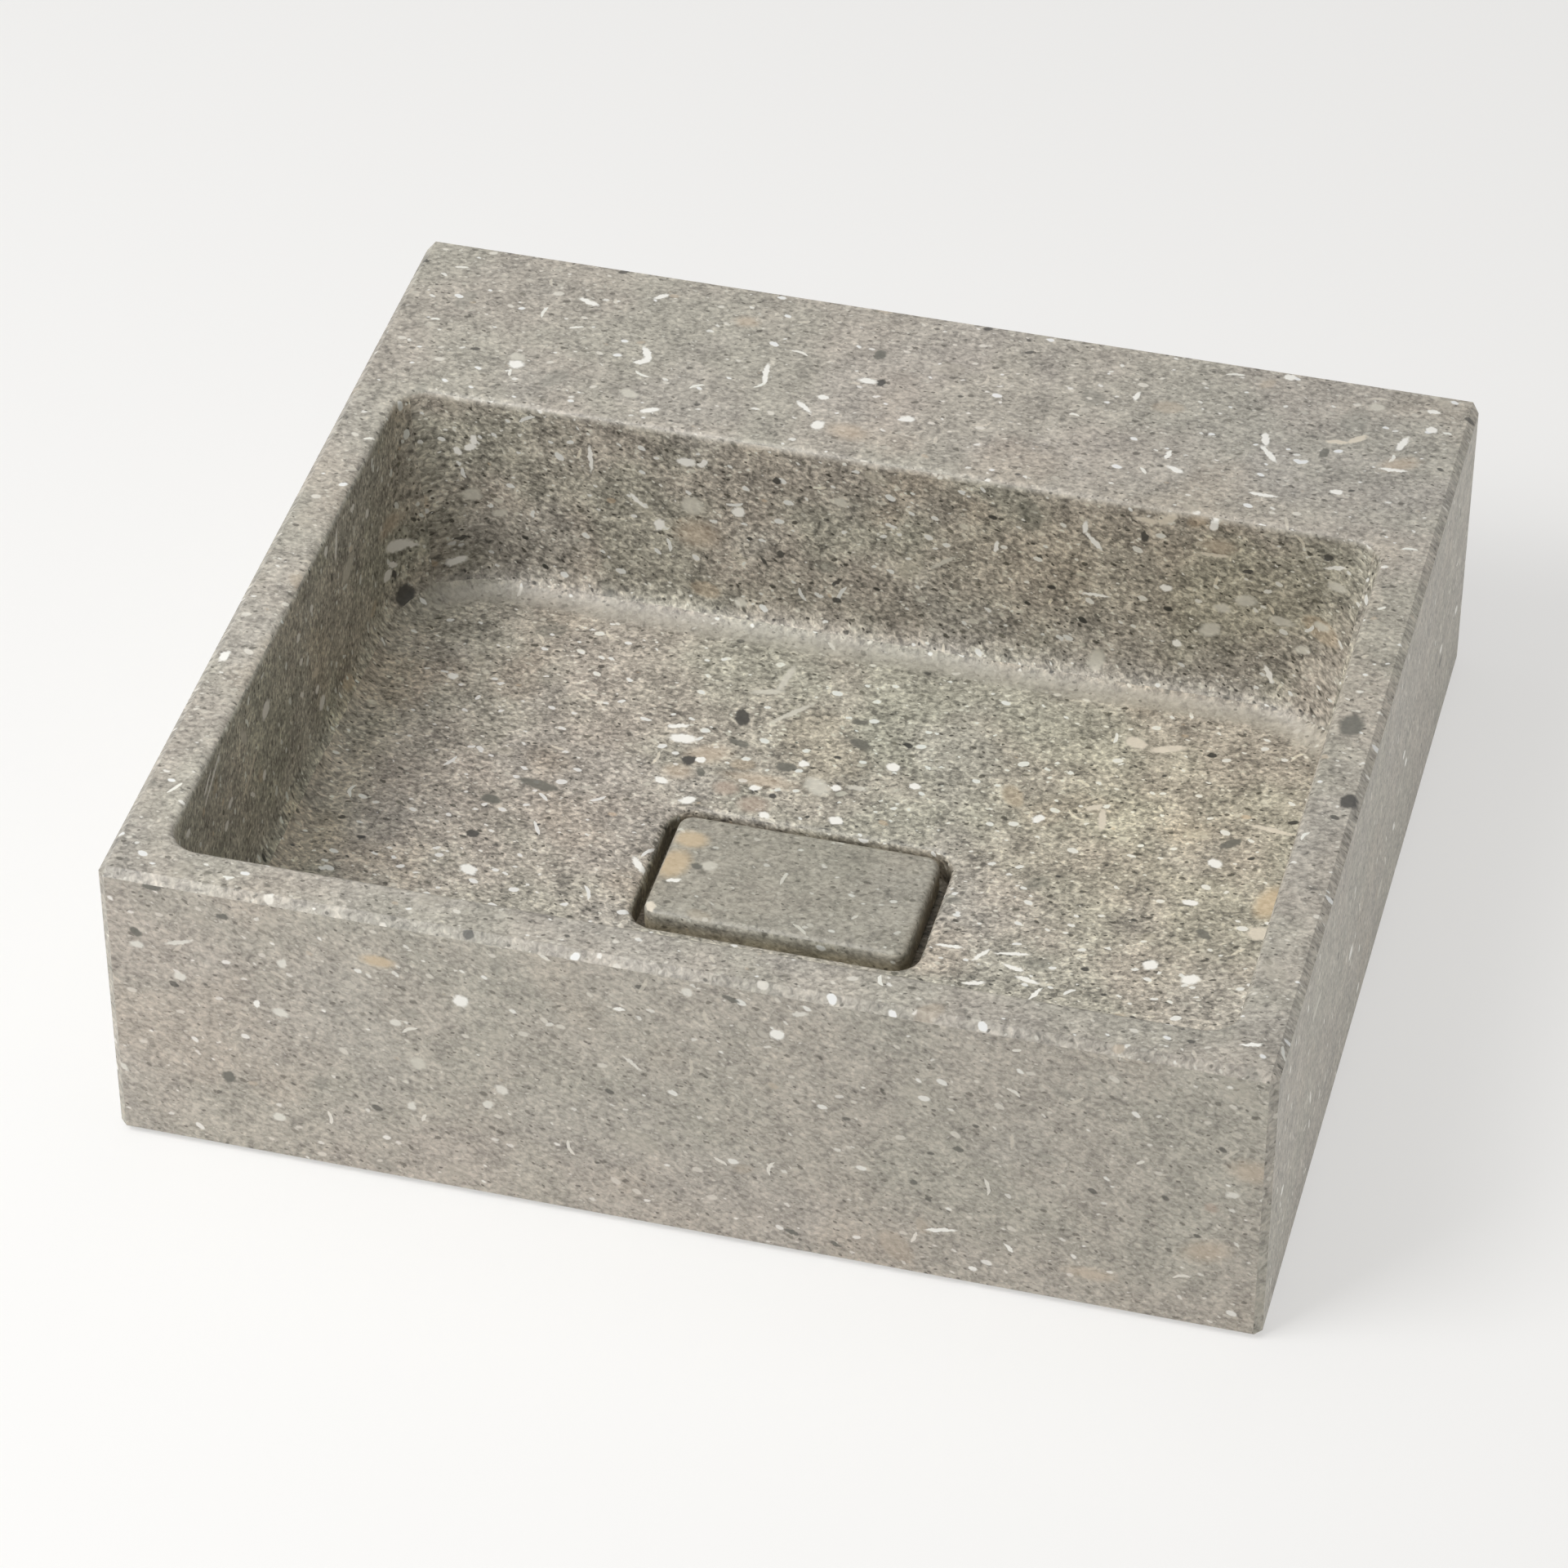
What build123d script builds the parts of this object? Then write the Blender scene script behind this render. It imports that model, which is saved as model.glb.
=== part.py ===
from build123d import *
from math import cos, radians
import os

# A vessel basin carved from one rectangular block of stone. A loose slab of the same stone
# covers the drain recess, and a flanged waste with a strainer is clamped through the base.
# Millimetres. The origin is the middle of the underside, +X right, +Y to the back, +Z up.

# Stone block
block_width = 480.0
block_depth = 447.0
block_height = 142.5
edge_chamfer = 3.25
base_thickness = 20.0

# Bowl
side_wall = 22.2
front_wall = 21.8
rear_deck = 109.0
rim_radius = 3.4
rim_corner = 12.0
foot_corner = 58.0
foot_radius = 15.5
foot_margin = 1.0
floor_fall = 8.7

# Drain recess in the floor of the bowl
recess_width = 125.2
recess_length = 77.2
recess_depth = 13.8
recess_corner = 12.0
recess_lip = 3.3

# Loose cover in the drain recess
cover_end_gap = 5.1
cover_side_gap = 5.7
cover_thickness = 14.5
cover_rounding = 3.2
cover_arris = 0.8
pad_radius = 6.0
pad_height = 2.0
pad_inset = 11.2

# Waste: flange, tube and the bar for its screw
flange_radius = 30.0
flange_thickness = 2.0
flange_clearance = 0.5
tube_radius = 23.5
tube_clearance = 1.0
throat_radius = 18.0
socket_radius = 19.475
socket_depth = 11.7
socket_lead = 0.6
bar_width = 5.0
bar_height = 4.0
boss_radius = 5.0
boss_height = 5.0

# Strainer plate and its screw
plate_radius = 22.7
plate_thickness = 1.5
plate_clearance = 0.3
plate_drop = 0.3
hole_radius = 2.4
inner_ring = 9.6
outer_ring = 16.6
inner_count = 6
outer_count = 12
screw_radius = 2.5
screw_head_radius = 4.4
screw_head_height = 1.3
screw_length = 6.2
screw_slot_width = 1.0
screw_slot_depth = 0.6
thread_clearance = 0.05

# Gaskets, washer and back nut
gasket_clearance = 0.25
gasket_width = 5.6
flange_gasket_thickness = 1.5
nut_gasket_thickness = 2.0
washer_thickness = 1.0
nut_thickness = 4.5
nut_across_flats = 58.0
nut_arris = 0.8
nut_pocket_clearance = 4.5
support_clearance = 0.5

# Places that follow from the sizes
bowl_width = block_width - 2 * side_wall
bowl_length = block_depth - front_wall - rear_deck
bowl_centre = (front_wall - rear_deck) / 2
recess_rim = base_thickness + recess_depth
floor_edge = recess_rim + floor_fall
foot_inset = foot_radius + foot_margin
flange_underside = base_thickness - flange_thickness
gasket_seat = flange_underside - flange_gasket_thickness
tube_end = support_clearance
washer_bottom = tube_end + nut_thickness
nut_gasket_bottom = washer_bottom + washer_thickness
nut_pocket = nut_gasket_bottom + nut_gasket_thickness
nut_pocket_radius = nut_across_flats / 2 / cos(radians(30)) + nut_pocket_clearance
gasket_bore = tube_radius + gasket_clearance
seat_radius = plate_radius + plate_clearance
seat_level = base_thickness - plate_drop - plate_thickness
cover_width = recess_width - 2 * cover_end_gap
cover_length = recess_length - 2 * cover_side_gap
cover_corner = recess_corner - (cover_end_gap + cover_side_gap) / 2
cover_bottom = base_thickness + pad_height


def level(height):
    """A horizontal plane at a height, centred on the bowl and its drain."""
    return Plane(origin=(0, bowl_centre, height))


def save(piece, name):
    """Name a finished piece and write it."""
    piece.part.label = name
    export_step(piece.part, f"parts/{name}.step")


os.makedirs("parts", exist_ok=True)

# Space of the bowl. Its walls are upright, and its corners widen towards the floor.
with BuildPart() as bowl_space:
    with BuildSketch(level(floor_edge)):
        RectangleRounded(bowl_width, bowl_length, foot_corner)
    with BuildSketch(level(block_height)):
        RectangleRounded(bowl_width, bowl_length, rim_corner)
    loft(ruled=True)
    fillet(bowl_space.faces().sort_by(Axis.Z)[0].edges(), radius=foot_radius)

# Fall of the floor, four shallow planes down to the drain recess, and the recess itself
with BuildPart() as floor_space:
    with BuildSketch(level(recess_rim)):
        RectangleRounded(recess_width, recess_length, recess_corner)
    with BuildSketch(level(floor_edge)):
        RectangleRounded(
            bowl_width - 2 * foot_inset, bowl_length - 2 * foot_inset, foot_corner - foot_inset
        )
    loft(ruled=True)
    with BuildSketch(level(base_thickness)):
        RectangleRounded(recess_width, recess_length, recess_corner)
    extrude(amount=recess_depth)
    lip = floor_space.edges().group_by(Axis.Z)[2]
    fillet(lip, radius=recess_lip)

# Block with the bowl, the recess and the seats of the waste
with BuildPart() as basin_block:
    Box(block_width, block_depth, block_height, align=(Align.CENTER, Align.CENTER, Align.MIN))
    back_top_edge = basin_block.edges().group_by(Axis.Z)[-1].sort_by(Axis.Y)[-1:]
    chamfer(basin_block.edges() - back_top_edge, length=edge_chamfer)
    add(bowl_space.part, mode=Mode.SUBTRACT)
    add(floor_space.part, mode=Mode.SUBTRACT)
    rim = basin_block.faces().sort_by(Axis.Z)[-1].inner_wires()[0]
    fillet(rim.edges(), radius=rim_radius)
    with Locations(level(base_thickness)):
        CounterBoreHole(
            radius=tube_radius + tube_clearance,
            counter_bore_radius=flange_radius + flange_clearance,
            counter_bore_depth=base_thickness - gasket_seat,
        )
    with BuildSketch(level(0)):
        Circle(nut_pocket_radius)
    extrude(amount=nut_pocket, mode=Mode.SUBTRACT)
save(basin_block, "basin_block")

# Loose cover slab
with BuildPart() as drain_cover:
    with BuildSketch(level(cover_bottom)):
        RectangleRounded(cover_width, cover_length, cover_corner)
    extrude(amount=cover_thickness)
    fillet(drain_cover.faces().sort_by(Axis.Z)[-1].edges(), radius=cover_rounding)
    chamfer(drain_cover.faces().sort_by(Axis.Z)[0].edges(), length=cover_arris)
save(drain_cover, "drain_cover")

# Four pads bonded under the cover, near its corners
pad_places = GridLocations(cover_width - 2 * pad_inset, cover_length - 2 * pad_inset, 2, 2)
for number, place in enumerate(pad_places.locations, start=1):
    with BuildPart() as cover_pad:
        with BuildSketch(level(base_thickness)):
            with Locations(place):
                Circle(pad_radius)
        extrude(amount=pad_height)
    save(cover_pad, f"cover_pad_{number}")

# Flanged waste with a throat, a threaded socket below it and a bar across the throat
with BuildPart() as waste_body:
    with BuildSketch(level(tube_end)):
        Circle(tube_radius)
    extrude(amount=flange_underside - tube_end)
    with BuildSketch(level(flange_underside)):
        Circle(flange_radius)
    extrude(amount=flange_thickness)
    with BuildSketch(level(seat_level)):
        Circle(seat_radius)
    extrude(amount=base_thickness - seat_level, mode=Mode.SUBTRACT)
    with BuildSketch(level(tube_end)):
        Circle(throat_radius)
    extrude(amount=seat_level - tube_end, mode=Mode.SUBTRACT)
    with BuildSketch(level(tube_end)):
        Circle(socket_radius)
    extrude(amount=socket_depth, mode=Mode.SUBTRACT)
    mouth = waste_body.faces().sort_by(Axis.Z)[0].inner_wires()[0]
    chamfer(mouth.edges(), length=socket_lead)
    with BuildSketch(level(seat_level)):
        Rectangle(throat_radius + tube_radius, bar_width)
    extrude(amount=-bar_height)
    with BuildSketch(level(seat_level)):
        Circle(boss_radius)
    extrude(amount=-boss_height)
    with Locations(level(seat_level)):
        Hole(radius=screw_radius + thread_clearance, depth=boss_height)
save(waste_body, "waste_body")

# Perforated strainer plate, countersunk for its screw
with BuildPart() as strainer_plate:
    with BuildSketch(level(seat_level)):
        Circle(plate_radius)
        with PolarLocations(inner_ring, inner_count):
            Circle(hole_radius, mode=Mode.SUBTRACT)
        with PolarLocations(outer_ring, outer_count):
            Circle(hole_radius, mode=Mode.SUBTRACT)
        Circle(screw_radius + thread_clearance, mode=Mode.SUBTRACT)
    extrude(amount=plate_thickness)
    with BuildSketch(level(seat_level + plate_thickness)):
        Circle(screw_head_radius + thread_clearance)
    with BuildSketch(level(seat_level + plate_thickness - screw_head_height)):
        Circle(screw_radius + thread_clearance)
    loft(mode=Mode.SUBTRACT)
save(strainer_plate, "strainer_plate")

# Countersunk screw with a straight slot
with BuildPart() as strainer_screw:
    with BuildSketch(level(seat_level + plate_thickness)):
        Circle(screw_head_radius)
    with BuildSketch(level(seat_level + plate_thickness - screw_head_height)):
        Circle(screw_radius)
    loft()
    with BuildSketch(level(seat_level + plate_thickness - screw_head_height)):
        Circle(screw_radius)
    extrude(amount=screw_head_height - screw_length)
    with BuildSketch(level(seat_level + plate_thickness)):
        Rectangle(2 * screw_head_radius, screw_slot_width)
    extrude(amount=-screw_slot_depth, mode=Mode.SUBTRACT)
save(strainer_screw, "strainer_screw")


def ring(bottom, thickness):
    """A flat ring round the waste tube."""
    with BuildPart() as flat_ring:
        with BuildSketch(level(bottom)):
            Circle(gasket_bore + gasket_width)
            Circle(gasket_bore, mode=Mode.SUBTRACT)
        extrude(amount=thickness)
    return flat_ring


# Seals and slip washer
save(ring(gasket_seat, flange_gasket_thickness), "flange_gasket")
save(ring(nut_gasket_bottom, nut_gasket_thickness), "nut_gasket")
save(ring(washer_bottom, washer_thickness), "slip_washer")

# Hexagonal back nut
with BuildPart() as back_nut:
    with BuildSketch(level(tube_end)):
        RegularPolygon(radius=nut_across_flats / 2, side_count=6, major_radius=False)
        Circle(tube_radius + thread_clearance, mode=Mode.SUBTRACT)
    extrude(amount=nut_thickness)
    flats = back_nut.faces().filter_by(Axis.Z).faces()
    chamfer(flats.edges().filter_by(GeomType.LINE), length=nut_arris)
save(back_nut, "back_nut")
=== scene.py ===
from math import cos, radians, sin

import bpy
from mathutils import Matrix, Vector


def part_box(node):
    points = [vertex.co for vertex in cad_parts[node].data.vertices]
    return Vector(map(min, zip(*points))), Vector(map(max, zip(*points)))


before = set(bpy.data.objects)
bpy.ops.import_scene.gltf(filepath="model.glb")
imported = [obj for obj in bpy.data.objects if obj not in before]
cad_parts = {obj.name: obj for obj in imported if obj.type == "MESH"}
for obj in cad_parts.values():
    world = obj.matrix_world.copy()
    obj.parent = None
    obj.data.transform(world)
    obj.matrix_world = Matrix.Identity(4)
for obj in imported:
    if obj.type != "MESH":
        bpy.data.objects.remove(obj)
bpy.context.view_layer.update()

# Camera, from the photograph's viewing angle
camera_azimuth = 14.798
camera_elevation = 40.253
camera_distance = 2.6315
camera_aim = Vector((-0.00998, -0.01985, 0.070))
camera_lens = 142.91
camera_sensor = 36.0
camera_clip = (0.1, 100.0)

# Soft light: a key panel at the upper left of the front, a wide panel overhead, a low strip of
# fill at the right, and a faint even sky. Each panel is given by its place, size and power.
panels = {
    "key": ((-1.085, -1.085, 1.845), (1.2, 1.2), 42.0),
    "overhead": ((-0.40, -0.20, 2.20), (2.5, 2.5), 20.0),
    "fill": ((1.50, 0.0, 0.13), (1.5, 0.24), 4.3),
}
light_aim = Vector((0.0, 0.0, 0.05))
sky_colour = (1.0, 0.995, 0.985, 1.0)
sky_strength = 0.14
backdrop_brightness = 0.93

# Stage floor. The camera and gloss see it mixed with an even glow.
floor_half = 12.0
floor_gap = 0.0002
floor_white = (0.93, 0.925, 0.91, 1.0)
floor_glow = (0.922, 0.914, 0.900, 1.0)
floor_lift = 0.60

# All materials are laid out in millimetres
millimetres = 1000.0

# The stone's ground: its colours, the sizes of its lumps and how strongly each shows
stone_green = (0.4105, 0.3845, 0.3245, 1.0)
stone_taupe = (0.4190, 0.3845, 0.3275, 1.0)
stone_violet = (0.4130, 0.3835, 0.3295, 1.0)
stone_tan = (0.4260, 0.3870, 0.3240, 1.0)
stone_middle = (0.40, 0.37, 0.31)
stone_palest = (0.86, 0.86, 0.84)
colour_drift_size = 70.0
taupe_limits = (0.38, 0.62)
violet_limits = (0.52, 0.68)
tan_limits = (0.58, 0.74)
mottle_size = 15.0
mottle_share = 0.60
grain_size = 2.4
grain_stretch = (0.85, 1.2, 0.0)
grain_swirl = 0.4
grain_share = 1.20
lump_size = 2.2
lump_stretch = (0.9, 1.05, 0.0)
lump_share = 0.17
lump_edge = 0.22
lump_lift = 0.05
seam_size = 4.6
seam_width = 0.045
seam_depth = 0.05
wobble_size = 2.6
ragged_outline = 1.6
smooth_outline = 0.9
stone_relief_size = 2.0
stone_relief = (0.3, 0.0002)
stone_roughness = (0.52, 0.38)

# How the contrast and the tone of the stone change from face to face. The darker tone of the level
# faces and of the bowl is painted shade.
deck_contrast = 1.38
side_contrast = 1.10
bowl_contrast = (2.12, 2.35)
cover_contrast = (1.1, 1.3)
# Level faces are darkened a little: painted shade
level_painted_shade = 0.968
# The bowl is darkened inside: painted shade in the hollow
bowl_painted_shade = (0.93, 0.925, 0.90)
cover_tone = (0.83, 0.845, 0.83)

# The smooth hollow where the bowl's back wall meets its floor. It is told by how steep it is, by its
# height, and by facing the front more than the sides.
foot_contrast = 0.75
# The hollow is also lightened: painted light where it faces the front
foot_painted_light = (1.05, 1.06, 1.09)
foot_lean = (0.04, 0.22)
foot_end = (0.50, 0.80)
foot_turn = (-0.25, 0.05)
foot_top = 60.0
foot_bottom = 39.0
foot_fade = 3.0

# Painted shade low in the drain gap, with a brown tint on the cover
recess_painted_shade = (0.60, 0.57, 0.52)
cover_shade_and_stain = (0.94, 0.87, 0.74)
gap_shade_top = 34.5
gap_shade_depth = 6.5

# The space of the bowl, a little wider than the CAD, so that it takes in all of the walls
bowl_wall = 21.0
bowl_deck = 108.0
rim_drop = 1.0
bowl_margin = 4.0
bowl_lowest = 14.0
bowl_fade = (-0.5, 4.0)

# How the faces are laid flat beside each other for the pattern and for the marks
level_lean = 0.05
front_grain_slope = -16.0
face_shift = 700.0
ahead_offset = (12.0, 263.0, 0.0)
beside_offset = (431.0, 57.0, 0.0)
mark_rise = 1000.0
ahead_band = 1000.0
beside_band = 5000.0
mark_raggedness = 2.0
drift_softness = 0.8

# Random grains, one layer after another: size of a cell, smallest and largest radius, stretch,
# most tilt, softness of the edge, shift of the layer, and what outline the grains have. Then the
# kinds of grain: where the share of each ends, its colour and its strength.
grain_spread = 0.9
grain_shift_slope = 0.7
nothing = (1.0, (0, 0, 0), 0.0)
grain_layers = [
    (
        (3.3, (0.15, 0.75), 1.35, 0.6, 0.2, 53.0), "plain",
        ((0.20, (88, 84, 75), 0.70), (0.44, (206, 202, 190), 0.65), nothing),
    ),
    (
        (5.6, (0.25, 1.3), 1.35, 0.6, 0.35, 17.0), "ragged",
        (
            (0.13, (92, 88, 78), 0.65), (0.25, (124, 120, 108), 0.6), (0.56, (196, 191, 178), 0.6),
            (0.66, (224, 221, 212), 0.75), nothing,
        ),
    ),
    (
        (50.0, (3.0, 7.5), 1.3, 1.4, 1.4, 211.0), "ragged",
        (
            (0.30, (182, 176, 162), 0.4), (0.42, (182, 169, 150), 0.4), (0.57, (140, 138, 128), 0.35),
            nothing,
        ),
    ),
    (
        (12.0, (0.5, 1.9), 1.3, 0.5, 0.4, 91.0), "smooth",
        (
            (0.18, (232, 230, 222), 0.85), (0.42, (214, 209, 197), 0.78), (0.60, (194, 189, 176), 0.65),
            (0.65, (84, 82, 76), 0.8), (0.68, (188, 174, 154), 0.5), nothing,
        ),
    ),
]

# Random shell fragments: size of a cell, shortest and longest half length, bend, half width, most
# tilt and shift, then their kinds
shell_spread = 0.8
shell_shift_slope = -0.6
shell_softness = 0.2
shell_scramble = 17.0
shell_layer = (32.0, (1.8, 5.0), 0.10, 0.75, 1.8, 7.0)
shell_kinds = ((0.25, (226, 222, 211), 0.85), (0.45, (206, 199, 184), 0.65), nothing)

# Kinds of mark in the stone: colour, strength and softness of the edge
mark_kinds = {
    "tan": ((200, 181, 158), 0.50, 0.8),
    "ochre": ((208, 186, 152), 0.70, 0.6),
    "rosy": ((176, 157, 141), 0.60, 0.6),
    "pale": ((208, 204, 191), 0.80, 0.5),
    "cream": ((223, 213, 195), 0.85, 0.4),
    "slate": ((98, 97, 89), 0.88, 0.4),
    "dark": ((64, 62, 58), 0.95, 0.35),
    "chalk": ((226, 223, 213), 0.85, 0.5),
    "white": ((243, 241, 234), 0.97, 0.4),
}

# The marks that stand out on the top, placed one by one: x, y, half length, half width, turn
top_marks = {
    "tan": [
        (-57, 29, 9, 5, 20), (-67, 16, 6, 4, 0), (-31, 19, 14, 3.5, 0), (-22, 133, 8, 5, -10),
        (-85, 200, 5, 3.5, 0), (214, 171, 8, 4, 30),
    ],
    "ochre": [(199, -11, 10, 6, 80)],
    "rosy": [(-30, 4, 6.5, 4.6, 0), (-44, 11, 5.4, 4, 0)],
    "pale": [
        (-6, 21, 6.4, 4.2, -35), (-176, 149, 3.4, 2.4, 0), (-121, 135.5, 4.4, 2.6, -20),
        (197, 209, 3.2, 2.6, 0), (11, 24, 4.4, 1.4, 0), (-36, 82, 9, 1.7, 80), (-42, 72.5, 7, 1.6, 15),
        (-28, 62, 10, 1.3, 45),
    ],
    "cream": [
        (122, 79, 5, 3, -20), (136, 78.5, 7.5, 2, 20), (113, 36, 4, 1.6, 30), (118, 29, 6.5, 1.8, -80),
        (190.5, 36, 10, 1.4, -10), (199, -31, 5.8, 4.2, 0), (193, 184, 5, 1.8, 45),
        (185, 180, 5, 1.4, 5),
    ],
    "slate": [
        (-122, -10, 8.8, 3, -6), (-45.5, 39, 4.8, 1.8, -8), (-57, 18, 2.6, 1.6, -60),
        (5.5, 50.5, 5, 2.7, -20), (2, 63.5, 3.8, 1.6, 0), (-22, 29.5, 4.8, 2.6, 10),
        (176, -36, 4.4, 2.2, -40), (175, 24, 5, 2.3, 40),
        (-138.5, -25.5, 4.6, 2.6, 0), (-22, 191, 3.6, 2.7, 80), (181, 171, 3.6, 2.1, 80),
        (227, -7.5, 6.8, 4.8, 85),
    ],
    "dark": [
        (-48.5, 54.5, 5.2, 3.1, -70), (-139.5, -49.5, 3, 2.4, 0),
        (-16.5, 171, 2.8, 2, 90), (235, -55, 4.6, 3.6, 80), (-64, 24, 3.4, 2.6, 20),
        (-23, 11, 1.8, 1.4, 0),
    ],
    "white": [
        (-70, 36, 5.8, 2.7, 6), (-74, 43, 4.5, 1.3, 20), (-59, 25, 2.3, 1.8, 0), (23, 40, 2.9, 2.5, 0),
        (35, 31, 2.3, 1.9, 0), (-72, 9.5, 2.2, 1.4, -20), (-32, 14, 2.3, 1.5, 10),
        (-15, 33, 2.3, 1.9, 0), (2, 22, 2.1, 1.8, 0), (-58, 0, 3.4, 2.2, 40),
        (-23.5, -1, 2.6, 1.8, -10), (91, 24, 2.9, 2, 45),
        (158, -59, 3.1, 3, 0), (176, -65, 3.9, 2.9, 25), (171, 10, 3.3, 2.5, -30),
        (166, -17, 3.5, 1.5, -5), (-178, 47, 2.5, 2.1, 0), (-134.5, -72, 3.9, 2.7, -30),
        (-72.5, 9, 2.9, 1.7, -15), (7, 3, 3.2, 2.3, 0), (73, -63, 5.6, 1, 0), (87.5, -66, 4.7, 1, 55),
        (100, -63, 7.2, 0.9, 8), (102.5, -71.5, 4.7, 1.2, -18), (110, -78, 5.3, 1.4, -15),
        (115, -86, 4.3, 1, 65), (88.5, -84, 4.5, 1.3, 14), (-67, -46, 5.3, 1.6, -50),
        (-175, 143.5, 3.6, 2.7, 0), (-121.5, 166, 5, 1.7, -60), (-120.5, 161.5, 3, 1.9, 80),
        (-122.5, 159, 3, 1.5, 15), (-157, 196.5, 5, 1.5, -20), (-127, 208.5, 3.5, 1.4, 40),
        (-67, 165, 7, 1.3, -83), (-44.5, 145.5, 5, 1.4, -42), (-35.5, 134.5, 3.1, 2.7, 70),
        (-38.5, 154.5, 2.3, 1.7, 0), (-22.5, 171, 4, 2.1, 0), (1, 148.5, 3.1, 2.1, 0),
        (-109, 126, 4.3, 1.7, 25), (94, 190.5, 3.1, 1.2, 80), (116, 152.5, 3.1, 1.3, 85),
        (121, 143, 4, 1.5, -20), (154.5, 174, 4.6, 1.7, -75), (158, 164, 6.6, 1.4, -50),
        (161, 135, 6, 1, 0), (212, 166.5, 6, 1.1, 5), (212.5, 186, 5.6, 1.7, 75),
        (191.5, 145, 2.7, 1.7, 0), (156, 221, 2.5, 2.1, 0), (221.5, 212, 2.9, 1.5, 0),
        (223, 199, 2.5, 2.1, 0), (226, -207, 4.2, 0.9, 15), (-233.5, -82.5, 3.7, 1.7, 80),
    ],
}

# The marks on the front: x, z, half length, half width, turn
front_marks = {
    "tan": [(232, 91, 8, 5.5, 0), (216, 44, 9, 5, 20), (170, 20, 9, 3, 0)],
    "ochre": [(-123, 120, 6.6, 2.9, 0)],
    "rosy": [(217, 68, 2.8, 2.3, 0)],
    "pale": [(-108.5, 68.5, 3.3, 3, 0)],
    "slate": [
        (-225, 112.5, 2.6, 2, -30), (-187.5, 129, 2.4, 1.7, 0), (-217, 138, 4, 1.3, 0),
        (-190, 41.5, 3.2, 2.8, 80), (22, 133.5, 3.6, 1.3, -20), (97, 52.5, 1.8, 1.6, 0),
        (115, 75, 2.2, 1.4, 0), (47, 12.5, 3.2, 1.2, -20), (65, 10.5, 2.8, 1.1, -25),
    ],
    "white": [
        (-89, 106.5, 3.2, 3, 0), (41, 119, 3, 2.6, 10), (108.5, 29, 6.5, 1, 13), (122, 11, 1.9, 1.2, 0),
        (136.5, 26, 2.5, 0.9, -50), (-23.5, 117.5, 2, 0.9, 10), (-175.5, 85, 2.1, 1.3, 80),
    ],
    "chalk": [
        (-207, 111, 5.7, 1, 19), (-225, 106, 3.1, 1.7, 0), (-163.5, 109.5, 2.5, 1.9, 80),
        (-207.5, 92.5, 2.5, 1.9, 0), (-165.5, 82.5, 3.5, 2, -15), (-117, 88.5, 2.5, 1.6, 0),
        (-73.5, 62, 2.8, 2.2, -40), (-79.5, 52.5, 2.1, 2, 0), (-112, 44, 2.3, 1.9, 80),
        (-169.5, 24, 2.7, 2, 0), (-236, 37, 3.5, 1.2, -50), (-18.5, 89.5, 4.7, 0.9, -42),
        (4.5, 133, 2.1, 2, 0), (50, 132, 3.3, 1.3, 15), (225, 77, 2.5, 1.6, 10),
    ],
}

# The marks on the back wall of the bowl: x, z, half length, half width, turn
back_wall_marks = {
    "tan": [(-85, 88, 9, 7, 0), (147, 127, 7, 4, 0)],
    "pale": [
        (-87, 103, 5, 4.5, 0), (-188, 90, 4.2, 3, 0), (-175.5, 81.5, 3.9, 1.7, 20),
        (199, 116, 4.3, 2.3, 0), (145, 81, 5, 3.5, 30), (96, 55, 5.5, 3.4, 80), (26, 94, 7, 0.9, 38),
        (-65, 54, 3, 2.2, 0), (160, 100, 4.6, 3, 10), (176, 92, 5.5, 2.2, -10), (150, 94, 3.6, 2.4, 0),
        (186, 79, 3.6, 2.2, 20), (-20, 118, 3, 2.2, 0), (194, 94, 3.4, 2, 0),
    ],
    "cream": [(115, 135, 5.2, 1.3, -5), (124.5, 137, 4.6, 2, 40), (145, 122, 6, 1.1, 3)],
    "dark": [
        (-47, 84, 2.1, 2, 0), (-54.5, 78.5, 2.5, 1.1, -60), (-21.5, 73.5, 3.3, 1.1, 45),
        (-21.5, 63.5, 2, 1.6, 0), (-48.5, 124, 1.9, 1.5, 0), (-192.5, 68, 2.7, 1, 5),
        (194.5, 130.5, 2.2, 1.9, 0), (114.5, 126, 3, 1.7, -75), (160, 116, 2.2, 1.2, 10),
    ],
    "white": [
        (-186.5, 119.5, 3.1, 1.5, 85), (-188, 115.5, 3.1, 1.7, 25), (-194, 112.5, 2.3, 1.7, -60),
        (-133, 120, 7, 1, 92), (-112, 101, 5, 1, -46), (-89.5, 126.5, 4.3, 2.1, 0),
        (-82, 127, 3.1, 1.3, 45), (-66, 103.5, 3, 2.5, 20), (-102, 89.5, 3.3, 2.3, 70),
        (49.5, 107.5, 3.1, 1.2, 85), (88.5, 126, 3.5, 1.3, 85), (92.5, 119, 5.3, 1.2, -48),
        (94.5, 90, 6, 0.9, 3), (125, 100, 2.8, 1.7, 0), (131, 70.5, 2.2, 2, 0),
        (144.5, 138.5, 3.4, 1.7, 80), (197.5, 125.5, 4.7, 0.9, 12), (172, 62, 5, 1.2, -65),
        (-194, 57, 4.2, 1.9, 8),
    ],
}

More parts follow.
